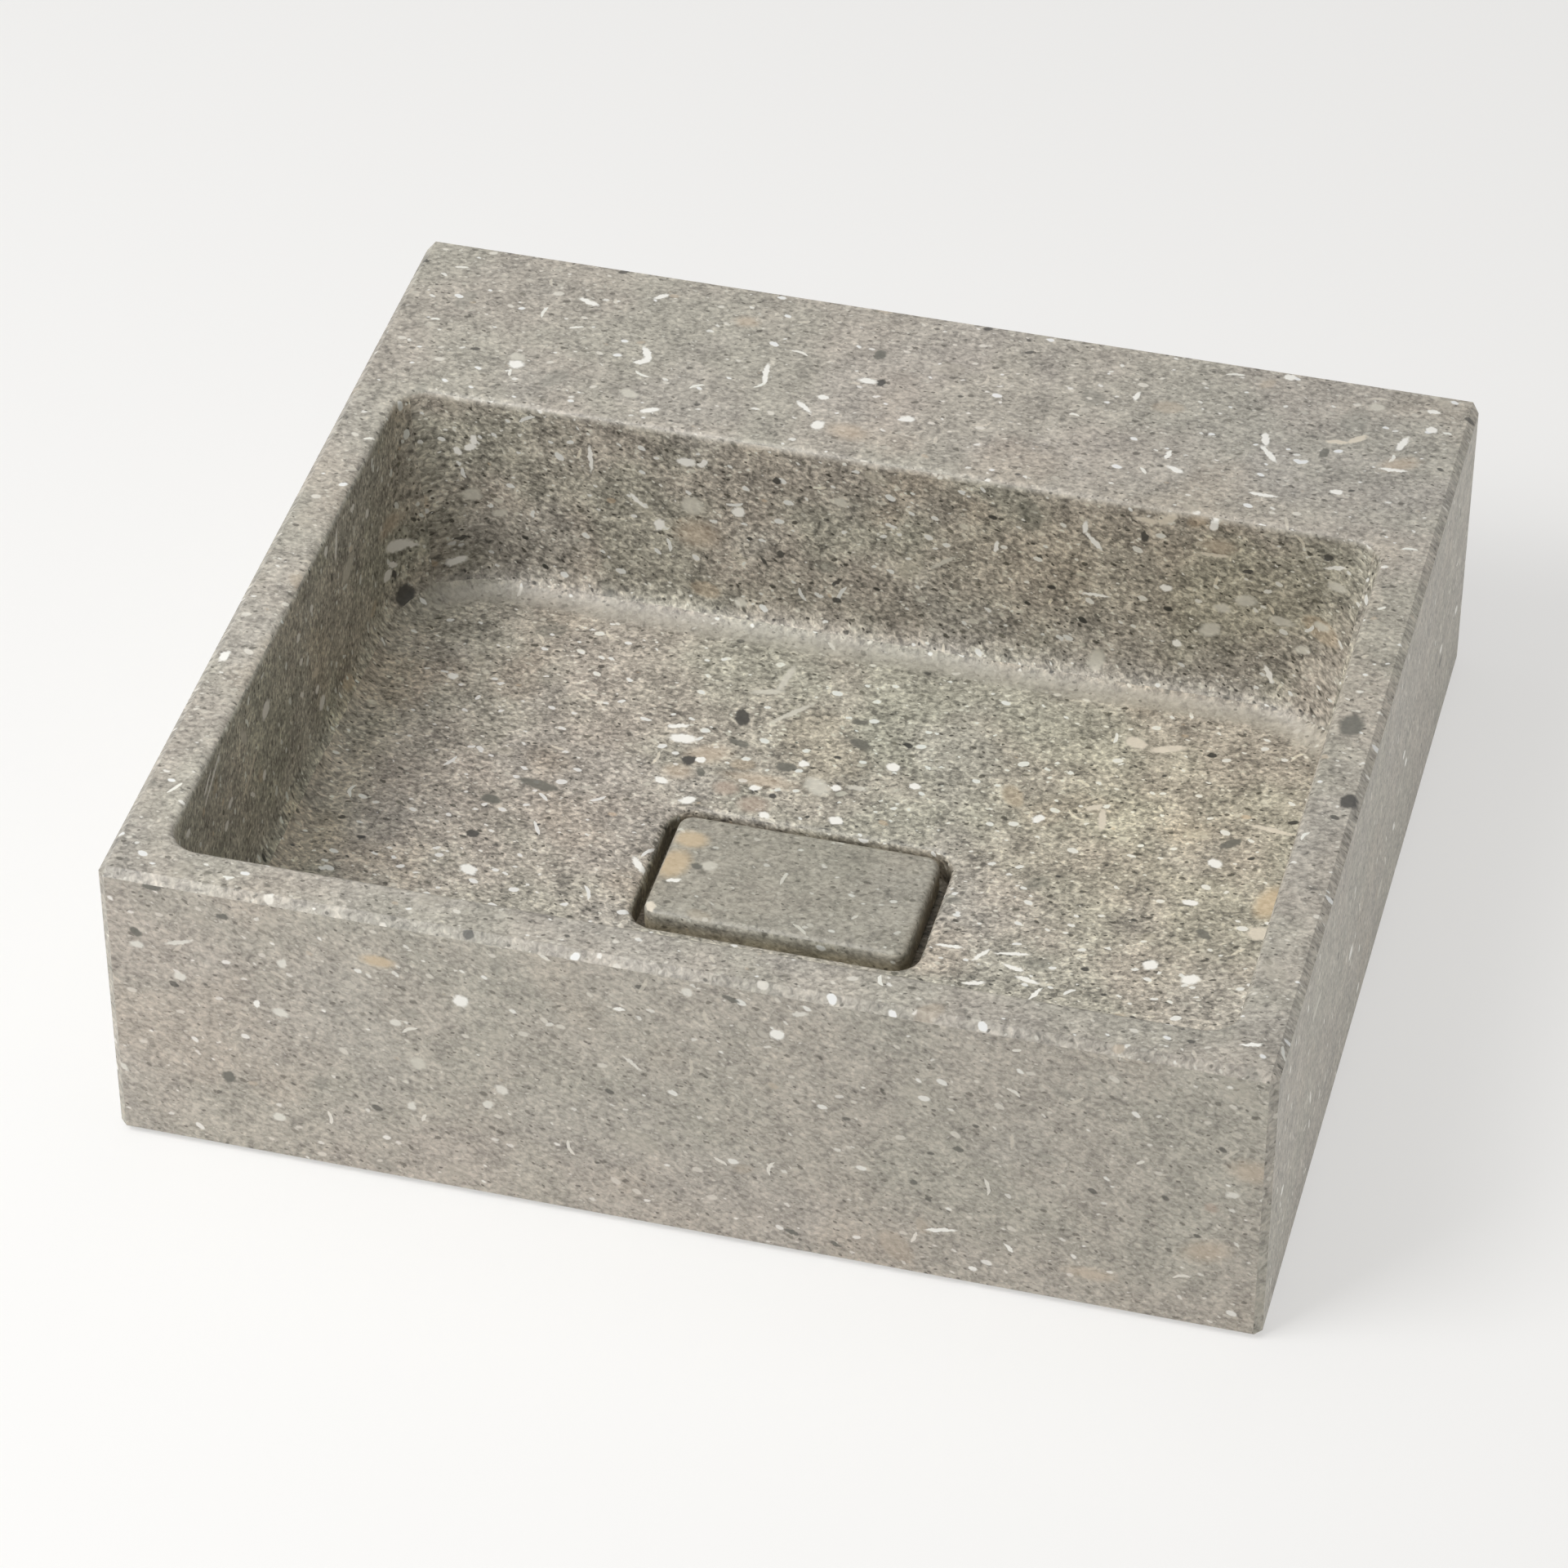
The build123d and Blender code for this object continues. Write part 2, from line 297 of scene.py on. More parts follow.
# The marks on the left wall of the bowl: y, z, half length, half width, turn
left_wall_marks = {
    "tan": [(84, 89, 10, 4.2, -5)],
    "pale": [(-107.5, 122, 6.2, 2.2, -60), (30, 105.5, 8, 4.4, 10), (25.5, 82, 3.6, 1.5, 25)],
    "cream": [(-103, 99, 9.5, 1.3, 30), (-17.5, 85.5, 3.6, 2.1, -15), (35, 113, 2.8, 1.7, -35)],
    "slate": [(104, 75, 3.6, 2.2, -30), (42, 98, 3.7, 1.9, 35)],
    "dark": [(84, 51, 5.6, 4.3, 30), (82, 63.5, 2.8, 1.2, -80)],
    "white": [
        (-146, 131, 12, 1.1, 30), (-151.5, 133.5, 6, 1, 35), (-80, 115, 4.8, 4, 0),
        (-12, 64.5, 3.7, 3.3, 0), (17, 128.5, 7.8, 1.4, 76), (87, 76, 8.2, 2.8, -22),
        (93, 73, 5, 1.3, -32),
        (77.5, 66, 3.3, 2.6, 0), (108.5, 49.5, 5.6, 2.4, -25), (-177, 127.5, 2.6, 2, -30),
        (-128, 103.5, 3.3, 1.6, 0), (-134, 96, 2.3, 2.1, 0), (-102, 86.5, 4, 1, -45),
        (-87, 85, 2.5, 2, 80), (-36, 119, 2.4, 2.1, 0), (-18, 121, 2.2, 2, 80), (-34.5, 105, 2, 1.9, 0),
        (-36, 88, 2.8, 1.3, -40), (-17, 76, 2.6, 2, -20), (-6, 45.5, 2.6, 2.1, -45),
        (4, 135, 2.5, 2.5, 0),
        (58.5, 114.5, 2.4, 2.1, 0), (40, 131.5, 3.3, 1.3, -15), (82.5, 68.5, 3.2, 1.3, -30),
    ],
}

# The marks on the right face: y, z, half length, half width, turn
right_marks = {
    "pale": [(23.5, 31, 6.2, 2.4, 0), (-135, 103.5, 9, 2.4, 0)],
    "slate": [(161.5, 46, 3.6, 2.1, 0)],
    "white": [
        (-194, 56, 2.9, 1.9, 0), (-50.5, 58, 4.5, 2.9, -15), (-136, 53.5, 4, 1.3, -75),
        (66, 70, 3.1, 2.1, -20), (73.5, 60, 3.6, 2, -30), (160.5, 54, 3.6, 1.9, -25),
        (202.5, 43.5, 4.3, 1.9, -30), (51.5, 42, 3.5, 1.7, -40), (-20.5, 12.5, 2.5, 2.1, 0),
    ],
}

# The marks on the drain cover: x, y, half length, half width, turn
cover_marks = {
    "ochre": [(-49, -27, 7, 5, 0), (-52, -44, 9, 6.4, 80)],
    "pale": [(-37, -41.5, 3.5, 2.9, 0)],
    "cream": [(-54.5, -73, 3, 2.6, 80)],
    "slate": [(-42, -43.5, 2.2, 1.7, 0)],
    "white": [(-49.5, -54.5, 3.3, 1.1, 15)],
}

# Broad drifts of tone: how each kind changes the colour. Some of the darker and lighter ones are
# painted shade and painted light, as said where they lie. Then where they lie on the faces, in the same
# terms as the marks of that face.
drift_kinds = {
    "green": (0.982, 1.008, 0.985),
    "rosy": (1.012, 0.990, 1.0),
    "tan": (1.022, 1.0, 0.945),
    "grey": (0.990, 0.995, 1.015),
    "shade": (0.95, 0.95, 0.95),
    "dim": (0.90, 0.90, 0.90),
    "corner_shade": (0.80, 0.80, 0.80),
    "light": (1.11, 1.115, 1.10),
    "bright": (1.17, 1.18, 1.16),
}
top_drifts = {
    "green": [(15, 60, 95, 55, 0)],
    "rosy": [(-120, 0, 70, 90, 0), (25, 165, 65, 60, 0)],
    "tan": [(150, 25, 70, 85, 0)],
    "grey": [(90, -50, 45, 35, 0), (185, 170, 70, 60, 0)],
    "shade": [
        (-165, 170, 105, 75, 0), (185, 170, 90, 75, 0), (-229, -40, 20, 300, 0), (-70, 15, 150, 80, 0),
        (229, -40, 16, 280, 0), (110, -222.5, 170, 3.6, 0),
    ],
    # The long dim oval along the front rim at y -212 is painted shade; the two small ones are tone
    # drifts on the floor
    "dim": [(0, -212, 560, 22, 0), (184, -50, 18, 20, 0), (180, 74, 24, 14, 0)],
    # The light oval and the first bright oval, at x -205, are painted light on the hollow at the left
    # wall's foot
    "light": [(-205, -20, 13, 110, 0)],
    "bright": [(-203, -40, 13, 100, 0), (138, 28, 20, 16, 0)],
}
front_drifts = {
    "rosy": [(-215, 90, 60, 90, 0), (-40, 14, 260, 26, 0)],
    "shade": [(70, 75, 190, 60, 0)],
}
back_wall_drifts = {
    "tan": [(120, 105, 80, 30, 0)],
    "shade": [(0, 85, 500, 120, 0)],
    # The long low dim oval at z 63 is painted shade along the foot of the back wall
    "dim": [(165, 100, 80, 60, 0), (0, 63, 420, 11, 0)],
    # Painted shade in the back wall's left corner
    "corner_shade": [(-192, 66, 12, 16, 0)],
    "bright": [(152, 126, 13, 8, 0)],
}
left_wall_drifts = {
    "green": [(-60, 95, 190, 110, 0)],
    "shade": [(-40, 95, 280, 110, 0)],
    # The light oval and the first bright oval, low at z 46, are painted light on the hollow at the
    # wall's foot
    "light": [(-30, 46, 110, 7, 0)],
    "bright": [(-50, 46, 90, 7, 0), (-104, 112, 18, 24, 0)],
}
# Painted shade on the drain cover's right side
cover_side_painted_shade = {"shade": [(-44, 30, 70, 16, 0)], "dim": [(-44, 30, 70, 16, 0)]}

# Turned metal: dull and bright colour, least and greatest roughness, size of the turning rings
steel_look = ((172, 173, 174), (206, 207, 207), 0.20, 0.36, 0.22)
brass_look = ((176, 138, 82), (217, 182, 118), 0.24, 0.42, 0.30)
metal_cloud_size = 9.0
metal_cloud_limits = (0.36, 0.64)
metal_ring_limits = (0.25, 0.8)
metal_ring_share = 0.35
metal_wear = 0.12
metal_relief = (0.35, 0.00008)
ring_rise = 0.83

# Silicone
silicone_dull = (208, 211, 210)
silicone_clear = (228, 229, 226)
silicone_dust = (186, 184, 178)
silicone_cloud_size = 2.6
silicone_dust_size = 0.35
silicone_dust_limits = (0.62, 0.75)
silicone_dust_share = 0.4
silicone_roughness = (0.32, 0.56)
silicone_relief = (0.2, 0.0002)
silicone_glow = (0.35, 0.002)

# Rubber
rubber_black = (34, 34, 35)
rubber_rubbed = (62, 61, 60)
rubber_dust = (84, 83, 80)
rubber_grain_size = 0.4
rubber_grain_limits = (0.6, 0.8)
rubber_grain_share = 0.35
rubber_rub_size = 5.0
rubber_rub_limits = (0.45, 0.72)
rubber_roughness = (0.55, 0.85)
rubber_relief = (0.4, 0.0001)

# Nylon
nylon_dull = (226, 221, 206)
nylon_clear = (238, 235, 224)
nylon_groove = (208, 202, 186)
nylon_cloud_size = 4.0
nylon_ring_size = 0.5
nylon_ring_limits = (0.5, 0.8)
nylon_ring_share = 0.3
nylon_roughness = (0.38, 0.55)
nylon_relief = (0.25, 0.0001)
nylon_glow = (0.2, 0.0015)
cloud_limits = (0.35, 0.65)


class Tree:
    """Adds shader nodes to one node tree. Each input takes a number or another node's socket."""

    def __init__(self, tree):
        self.tree = tree

    def node(self, kind, inputs=(), **settings):
        made = self.tree.nodes.new(kind)
        for name, value in settings.items():
            setattr(made, name, value)
        for name, value in dict(inputs).items():
            self.feed(made.inputs[name], value)
        return made

    def feed(self, socket, value):
        if isinstance(value, bpy.types.NodeSocket):
            self.tree.links.new(value, socket)
        else:
            socket.default_value = value

    def math(self, operation, *values):
        return self.node("ShaderNodeMath", enumerate(values), operation=operation).outputs[0]

    def vector(self, operation, *values):
        made = self.node("ShaderNodeVectorMath", enumerate(values), operation=operation)
        return made.outputs[1 if operation == "LENGTH" else 0]

    def scaled(self, vector, factor):
        return self.vector("MULTIPLY", vector, (factor, factor, factor))

    def joined(self, x, y, z=0.0):
        return self.node("ShaderNodeCombineXYZ", enumerate((x, y, z))).outputs[0]

    def parts(self, vector):
        return self.node("ShaderNodeSeparateXYZ", {0: vector}).outputs

    def turned(self, vector, angle):
        made = self.node("ShaderNodeVectorRotate", {"Vector": vector, "Angle": angle})
        made.rotation_type = "Z_AXIS"
        return made.outputs[0]

    def ramp(self, value, low, high, to_low=0.0, to_high=1.0):
        """A smooth step of a value between two limits."""
        inputs = {0: value, 1: low, 2: high, 3: to_low, 4: to_high}
        made = self.node("ShaderNodeMapRange", inputs, interpolation_type="SMOOTHSTEP")
        return made.outputs[0]

    def between(self, share, low, high):
        """The first number, or the second one where the share is 1."""
        made = self.node("ShaderNodeMix", {0: share, 2: low, 3: high}, clamp_factor=False)
        return made.outputs[0]

    def pick(self, share, first, second):
        """The first vector, or the second one where the share is 1."""
        made = self.node("ShaderNodeMix", data_type="VECTOR")
        for place, value in ((0, share), (4, first), (5, second)):
            self.feed(made.inputs[place], value)
        return made.outputs[1]

    def blend(self, share, first, second):
        """The first colour, or the second one where the share is 1."""
        made = self.node("ShaderNodeMix", data_type="RGBA")
        for place, value in ((0, share), (6, first), (7, second)):
            self.feed(made.inputs[place], value)
        return made.outputs[2]

    def noise(self, vector, size, detail=2.0, roughness=0.5, colour=False, swirl=0.0, solid=False):
        """Noise whose lumps are about `size` across, flat or solid."""
        inputs = {"Vector": vector, "Scale": 1 / size, "Detail": detail, "Roughness": roughness}
        inputs["Distortion"] = swirl
        made = self.node("ShaderNodeTexNoise", inputs, noise_dimensions="3D" if solid else "2D")
        return made.outputs[1 if colour else 0]

    def rings(self, value, size):
        """Noise along one line, for the marks of a turning tool."""
        inputs = {"W": value, "Scale": 1 / size, "Detail": 3.0, "Roughness": 0.6}
        return self.node("ShaderNodeTexNoise", inputs, noise_dimensions="1D").outputs[0]

    def oval(self, place, across, up, length, width, turn):
        """1 in the middle of an oval, falling to 0 at its edge."""
        made = self.node("ShaderNodeTexGradient", {0: place}, gradient_type="SPHERICAL")
        mapping = made.texture_mapping
        mapping.vector_type = "TEXTURE"
        mapping.translation = (across, up, 0.0)
        mapping.rotation = (0.0, 0.0, radians(turn))
        mapping.scale = (length, width, 1.0)
        return made.outputs[1]

    def ovals(self, place, shapes, softness):
        """The ovals of a list together, as one mask that is half strong at their outlines."""
        reach = 1 / (1 - softness / 2)
        mask = 0.0
        for across, up, length, width, turn in shapes:
            shape = self.oval(place, across, up, length * reach, width * reach, turn)
            mask = self.math("MAXIMUM", shape, mask)
        return self.ramp(mask, 0.0, softness)

    def cells(self, vector, size, spread=1.0):
        """Cells about `size` across: distance, random colour and the place of each cell's point."""
        inputs = {"Vector": vector, "Scale": 1 / size, "Randomness": spread}
        made = self.node("ShaderNodeTexVoronoi", inputs, voronoi_dimensions="2D")
        return made.outputs[0], made.outputs[1], made.outputs[2]


def tint(red, green, blue):
    """A colour from display values of 0 to 255."""
    linear = [((v / 255 + 0.055) / 1.055) ** 2.4 for v in (red, green, blue)]
    return (*linear, 1.0)


def group(name, inputs, outputs):
    """A new node group with the given sockets, its tree and its input and output nodes."""
    made = bpy.data.node_groups.new(name, "ShaderNodeTree")
    types = {"vector": "NodeSocketVector", "number": "NodeSocketFloat", "colour": "NodeSocketColor"}
    for label, kind in inputs.items():
        made.interface.new_socket(label, in_out="INPUT", socket_type=types[kind])
    for label, kind in outputs.items():
        made.interface.new_socket(label, in_out="OUTPUT", socket_type=types[kind])
    tree = Tree(made)
    return tree, tree.node("NodeGroupInput").outputs, tree.node("NodeGroupOutput").inputs


def any_kind(tree, chance, kinds):
    """Picks one kind by chance: its colour and its strength."""
    made = tree.node("ShaderNodeValToRGB", {0: chance})
    ramp = made.color_ramp
    ramp.interpolation = "CONSTANT"
    while len(ramp.elements) < len(kinds):
        ramp.elements.new(0.5)
    start = 0.0
    for element, (end, colour, strength) in zip(ramp.elements, kinds):
        element.position = start
        element.color = (*tint(*colour)[:3], strength)
        start = end
    return made.outputs[0], made.outputs[1]


def grains(tree, ground, place, layer, kinds):
    """Lays oval grains on the ground, at most one in each cell, each of a kind picked by chance."""
    cell, sizes, stretch, tilt, soft, shift = layer
    moved = tree.vector("ADD", place, (shift, shift * grain_shift_slope, 0.0))
    _, chance, centre = tree.cells(moved, cell, grain_spread)
    pick = tree.parts(chance)
    away = tree.vector("SUBTRACT", moved, centre)
    turned = tree.turned(away, tree.math("MULTIPLY_ADD", pick[0], 2 * tilt, -tilt))
    length = tree.vector("LENGTH", tree.vector("MULTIPLY", turned, (1 / stretch, stretch, 0.0)))
    radius = tree.between(tree.math("POWER", pick[1], 2.0), *sizes)
    inside = tree.ramp(tree.math("SUBTRACT", radius, length), -soft, soft)
    colour, strength = any_kind(tree, pick[2], kinds)
    return tree.blend(tree.math("MULTIPLY", inside, strength), ground, colour)


def shells(tree, ground, place, layer, kinds):
    """Lays thin bent fragments on the ground, at most one in each cell."""
    cell, reach, bend, width, tilt, shift = layer
    moved = tree.vector("ADD", place, (shift, shift * shell_shift_slope, 0.0))
    _, chance, centre = tree.cells(moved, cell, shell_spread)
    pick = tree.parts(chance)
    away = tree.vector("SUBTRACT", moved, centre)
    turned = tree.turned(away, tree.math("MULTIPLY_ADD", pick[0], 2 * tilt, -tilt))
    along, across, _ = tree.parts(turned)
    again = tree.math("FRACT", tree.math("MULTIPLY", pick[0], shell_scramble))
    curve = tree.between(again, -bend, bend)
    bow = tree.math("MULTIPLY_ADD", tree.math("MULTIPLY", along, along), curve, across)
    half = tree.between(pick[1], *reach)
    end = tree.math("POWER", tree.math("DIVIDE", along, half), 4.0)
    breadth = tree.math("MULTIPLY_ADD", end, -width, width)
    edge = tree.math("SUBTRACT", breadth, tree.math("ABSOLUTE", bow))
    inside = tree.ramp(edge, -shell_softness, shell_softness)
    colour, strength = any_kind(tree, pick[2], kinds)
    return tree.blend(tree.math("MULTIPLY", inside, strength), ground, colour)


def stone_pattern():
    """Colour of the conglomerate at a point of a flat face, given in millimetres."""
    sockets = {"Place": "vector", "Contrast": "number"}
    outputs = {"Colour": "colour", "Wobble": "vector"}
    tree, given, result = group("stone_pattern", sockets, outputs)
    place = given["Place"]
    contrast = given["Contrast"]

    # Broad drifts of colour
    drifts = tree.parts(tree.noise(place, colour_drift_size, colour=True))
    base = tree.blend(tree.ramp(drifts[0], *taupe_limits), stone_green, stone_taupe)
    base = tree.blend(tree.ramp(drifts[1], *violet_limits), base, stone_violet)
    base = tree.blend(tree.ramp(drifts[2], *tan_limits), base, stone_tan)

    # Ragged copy of the place, for irregular outlines
    noise = tree.noise(place, wobble_size, roughness=0.6, colour=True)
    wobble = tree.vector("SUBTRACT", noise, (0.5, 0.5, 0.5))
    ragged = tree.vector("ADD", place, tree.scaled(wobble, ragged_outline))
    smooth = tree.vector("ADD", place, tree.scaled(wobble, smooth_outline))

    # Fine ground mass: packed lumps with darker seams between them
    mottle = tree.math("SUBTRACT", tree.noise(place, mottle_size, 2.0, 0.6), 0.5)
    drawn_out = tree.vector("MULTIPLY", place, grain_stretch)
    grain = tree.math("SUBTRACT", tree.noise(drawn_out, grain_size, 2.2, 0.6, swirl=grain_swirl), 0.5)
    flattened = tree.vector("MULTIPLY", ragged, lump_stretch)
    distance, chance, _ = tree.cells(flattened, lump_size)
    lump = tree.math("SUBTRACT", tree.parts(chance)[0], 0.5)
    seam = tree.math("SUBTRACT", tree.noise(place, seam_size, 1.5, 0.6), 0.5)
    seam = tree.ramp(tree.math("ABSOLUTE", seam), 0.0, seam_width, seam_depth, 0.0)
    tone = tree.math("MULTIPLY_ADD", mottle, mottle_share, 1.0)
    tone = tree.math("MULTIPLY_ADD", grain, grain_share, tone)
    tone = tree.math("MULTIPLY_ADD", lump, lump_share, tone)
    tone = tree.math("MULTIPLY_ADD", tree.math("MULTIPLY", distance, distance), -lump_edge, tone)
    light = tree.math("SUBTRACT", tree.math("ADD", tone, lump_lift), seam)
    colour = tree.vector("MULTIPLY", base, tree.joined(light, light, light))

    # Grains and fragments set in it
    outlines = {"plain": place, "ragged": ragged, "smooth": smooth}
    for layer, outline, kinds in grain_layers:
        colour = grains(tree, colour, outlines[outline], layer, kinds)
    colour = shells(tree, colour, smooth, shell_layer, shell_kinds)

    # More or less contrast about the middle tone
    apart = tree.vector("DIVIDE", colour, stone_middle)
    apart = tree.node("ShaderNodeGamma", {0: apart, 1: contrast}).outputs[0]
    colour = tree.vector("MINIMUM", tree.vector("MULTIPLY", apart, stone_middle), stone_palest)

    tree.feed(result["Colour"], colour)
    tree.feed(result["Wobble"], wobble)
    return tree.tree


def face_number(tree, value, low, high):
    """Numbers the block's parallel faces from 0: outer, bowl, bowl and outer."""
    step = (high - low - bowl_wall) / 2
    middle = (low + high) / 2
    return tree.math("FLOOR", tree.math("MULTIPLY_ADD", value, 1 / step, 2 - middle / step))


def lifted(faces):
    """Joins the marks or drifts of several faces, each with the rise of its band."""
    joined = {}
    for rise, shapes in faces:
        for kind, ovals in shapes.items():
            moved = [(across, up + rise, *rest) for across, up, *rest in ovals]
            joined.setdefault(kind, []).extend(moved)
    return joined


def stone_places():
    """A point's place on its face, laid flat, and what kind of face it is."""
    outputs = {"Pattern": "vector", "Mark": "vector", "Upright": "number", "Foot": "number"}
    tree, given, result = group("stone_places", {"Place": "vector", "Normal": "vector"}, outputs)
    x, y, z = tree.parts(given["Place"])
    facing = tree.parts(tree.vector("ABSOLUTE", given["Normal"]))
    side = tree.math("GREATER_THAN", facing[0], facing[1])
    low, high = [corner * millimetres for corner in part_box("basin_block")]
    level = tree.joined(x, y)
    number_ahead = face_number(tree, y, low.y, high.y)
    number_beside = face_number(tree, x, low.x, high.x)
    up_ahead = tree.math("MULTIPLY_ADD", number_ahead, face_shift, z)
    up_beside = tree.math("MULTIPLY_ADD", number_beside, face_shift, z)
    ahead = tree.vector("ADD", tree.joined(x, up_ahead), ahead_offset)
    ahead = tree.turned(ahead, radians(-front_grain_slope))
    beside = tree.vector("ADD", tree.joined(up_beside, y), beside_offset)
    upright = tree.pick(side, ahead, beside)
    steep = tree.math("MAXIMUM", facing[0], facing[1])
    stands = tree.math("GREATER_THAN", tree.math("SUBTRACT", steep, facing[2]), level_lean)

    # Marks: level faces as they are, then the faces ahead and beside in bands above them
    band_ahead = tree.math("MULTIPLY_ADD", number_ahead, mark_rise, tree.math("ADD", z, ahead_band))
    band_beside = tree.math("MULTIPLY_ADD", number_beside, mark_rise, tree.math("ADD", z, beside_band))
    banded = tree.pick(side, tree.joined(x, band_ahead), tree.joined(y, band_beside))

    # The hollow where the bowl's back wall meets its floor
    rising = tree.math("MULTIPLY", tree.ramp(steep, *foot_lean), tree.ramp(steep, *foot_end, 1.0, 0.0))
    low_down = tree.math("LESS_THAN", z, foot_top)
    low_down = tree.math("MULTIPLY", low_down, tree.ramp(z, foot_bottom, foot_bottom + foot_fade))
    along_back = tree.ramp(tree.math("SUBTRACT", facing[1], facing[0]), *foot_turn)
    low_down = tree.math("MULTIPLY", low_down, along_back)

    tree.feed(result["Pattern"], tree.pick(stands, level, upright))
    tree.feed(result["Mark"], tree.pick(stands, level, banded))
    tree.feed(result["Upright"], stands)
    tree.feed(result["Foot"], tree.math("MULTIPLY", rising, low_down))
    return tree.tree


def stone_marks(name, marks, drifts):
    """The drifts of tone, some of them painted shade and painted light, and the marks that stand out,
    laid over the stone's own pattern.
    """
    sockets = {"Place": "vector", "Wobble": "vector", "Ground": "colour"}
    tree, given, result = group(name, sockets, {"Colour": "colour"})
    place = given["Place"]
    colour = given["Ground"]
    for kind, factor in drift_kinds.items():
        if kind in drifts:
            share = tree.ovals(place, drifts[kind], drift_softness)
            colour = tree.blend(share, colour, tree.vector("MULTIPLY", colour, factor))
    wobble = tree.vector("MULTIPLY", given["Wobble"], (mark_raggedness, mark_raggedness, 0.0))
    ragged = tree.vector("ADD", place, wobble)
    for kind, (shade, strength, softness) in mark_kinds.items():
        if kind in marks:
            share = tree.math("MULTIPLY", tree.ovals(ragged, marks[kind], softness), strength)
            colour = tree.blend(share, colour, tint(*shade))
    tree.feed(result["Colour"], colour)
    return tree.tree


def bowl_depth(tree, place):
    """How far a point lies inside the bowl, clear of its rim, in millimetres."""
    x, y, z = tree.parts(place)
    low, high = [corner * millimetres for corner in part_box("basin_block")]
    across = tree.math("SUBTRACT", high.x - bowl_wall + bowl_margin, tree.math("ABSOLUTE", x))
    front = tree.math("SUBTRACT", y, low.y + bowl_wall - bowl_margin)
    back = tree.math("SUBTRACT", high.y - bowl_deck + bowl_margin, y)
    down = tree.math("SUBTRACT", high.z - rim_drop, z)
    up = tree.math("SUBTRACT", z, bowl_lowest)
    least = tree.math("MINIMUM", tree.math("MINIMUM", across, down), tree.math("MINIMUM", front, back))
    return tree.math("MINIMUM", least, up)


def material(name):
    """A new material, with its nodes, its shader and a point's place in millimetres."""
    made = bpy.data.materials.new(name)
    made.use_nodes = True
    tree = Tree(made.node_tree)
    surface = made.node_tree.nodes["Principled BSDF"]
    where = tree.node("ShaderNodeTexCoord").outputs["Object"]
    return made, tree, surface, tree.scaled(where, millimetres)


def finish(tree, surface, colour, roughness, height, relief):
    """Feeds a shader its colour and roughness, and a relief: its strength and its depth in metres."""
    tree.feed(surface.inputs["Base Color"], colour)
    tree.feed(surface.inputs["Roughness"], roughness)
    strength, distance = relief
    bump = tree.node("ShaderNodeBump", {"Height": height, "Strength": strength, "Distance": distance})
    tree.feed(surface.inputs["Normal"], bump.outputs[0])


def stone_material(name, marks, inner_contrast, inner_tone, gap_shade_and_stain):
    """Honed grey conglomerate. In the bowl its grains stand out more and it is darkened with painted
    shade, the hollow at the back wall's foot is lightened with painted light, and the drain gap is
    darkened with painted shade.
    """
    made, tree, surface, place = material(name)
    facing = tree.node("ShaderNodeTexCoord").outputs["Normal"]
    places = tree.node("ShaderNodeGroup", node_tree=bpy.data.node_groups["stone_places"])
    tree.feed(places.inputs["Place"], place)
    tree.feed(places.inputs["Normal"], facing)
    share = places.outputs["Upright"]
    inside = tree.ramp(bowl_depth(tree, place), *bowl_fade)
    outer = tree.between(share, deck_contrast, side_contrast)
    inner = tree.between(share, *inner_contrast)
    inner = tree.between(places.outputs["Foot"], inner, foot_contrast)
    contrast = tree.between(inside, outer, inner)

    drawn = tree.node("ShaderNodeGroup", node_tree=bpy.data.node_groups["stone_pattern"])
    tree.feed(drawn.inputs["Place"], places.outputs["Pattern"])
    tree.feed(drawn.inputs["Contrast"], contrast)
    # Painted shade on the level faces
    tone = tree.between(share, level_painted_shade, 1.0)
    colour = tree.vector("MULTIPLY", drawn.outputs["Colour"], tree.joined(tone, tone, tone))
    # Inside the bowl: painted shade on the block, and the cover's own darker tone
    colour = tree.blend(inside, colour, tree.vector("MULTIPLY", colour, inner_tone))
    # Painted light on the hollow at the back wall's foot
    colour = tree.blend(places.outputs["Foot"], colour, tree.vector("MULTIPLY", colour, foot_painted_light))
    # Painted shade low in the drain gap, with a brown tint on the cover
    gap_mask = tree.ramp(tree.parts(place)[2], gap_shade_top - gap_shade_depth, gap_shade_top, 1.0, 0.0)
    gap_mask = tree.math("MULTIPLY", gap_mask, inside)
    colour = tree.blend(gap_mask, colour, tree.vector("MULTIPLY", colour, gap_shade_and_stain))
    marked = tree.node("ShaderNodeGroup", node_tree=marks)
    tree.feed(marked.inputs["Place"], places.outputs["Mark"])
    tree.feed(marked.inputs["Wobble"], drawn.outputs["Wobble"])
    tree.feed(marked.inputs["Ground"], colour)
    colour = marked.outputs["Colour"]
    height = tree.noise(place, stone_relief_size, 1.0, 0.6, solid=True)
    finish(tree, surface, colour, tree.between(height, *stone_roughness), height, stone_relief)
    return made


def round_the_drain(tree, place):
    """Distance from the drain's axis with the height mixed in, so that walls get rings too."""
    low, high = [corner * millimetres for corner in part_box("waste_body")]
    middle = (low + high) / 2
    across, along, up = tree.parts(tree.vector("SUBTRACT", place, (middle.x, middle.y, 0.0)))
    return tree.math("MULTIPLY_ADD", up, ring_rise, tree.vector("LENGTH", tree.joined(across, along)))


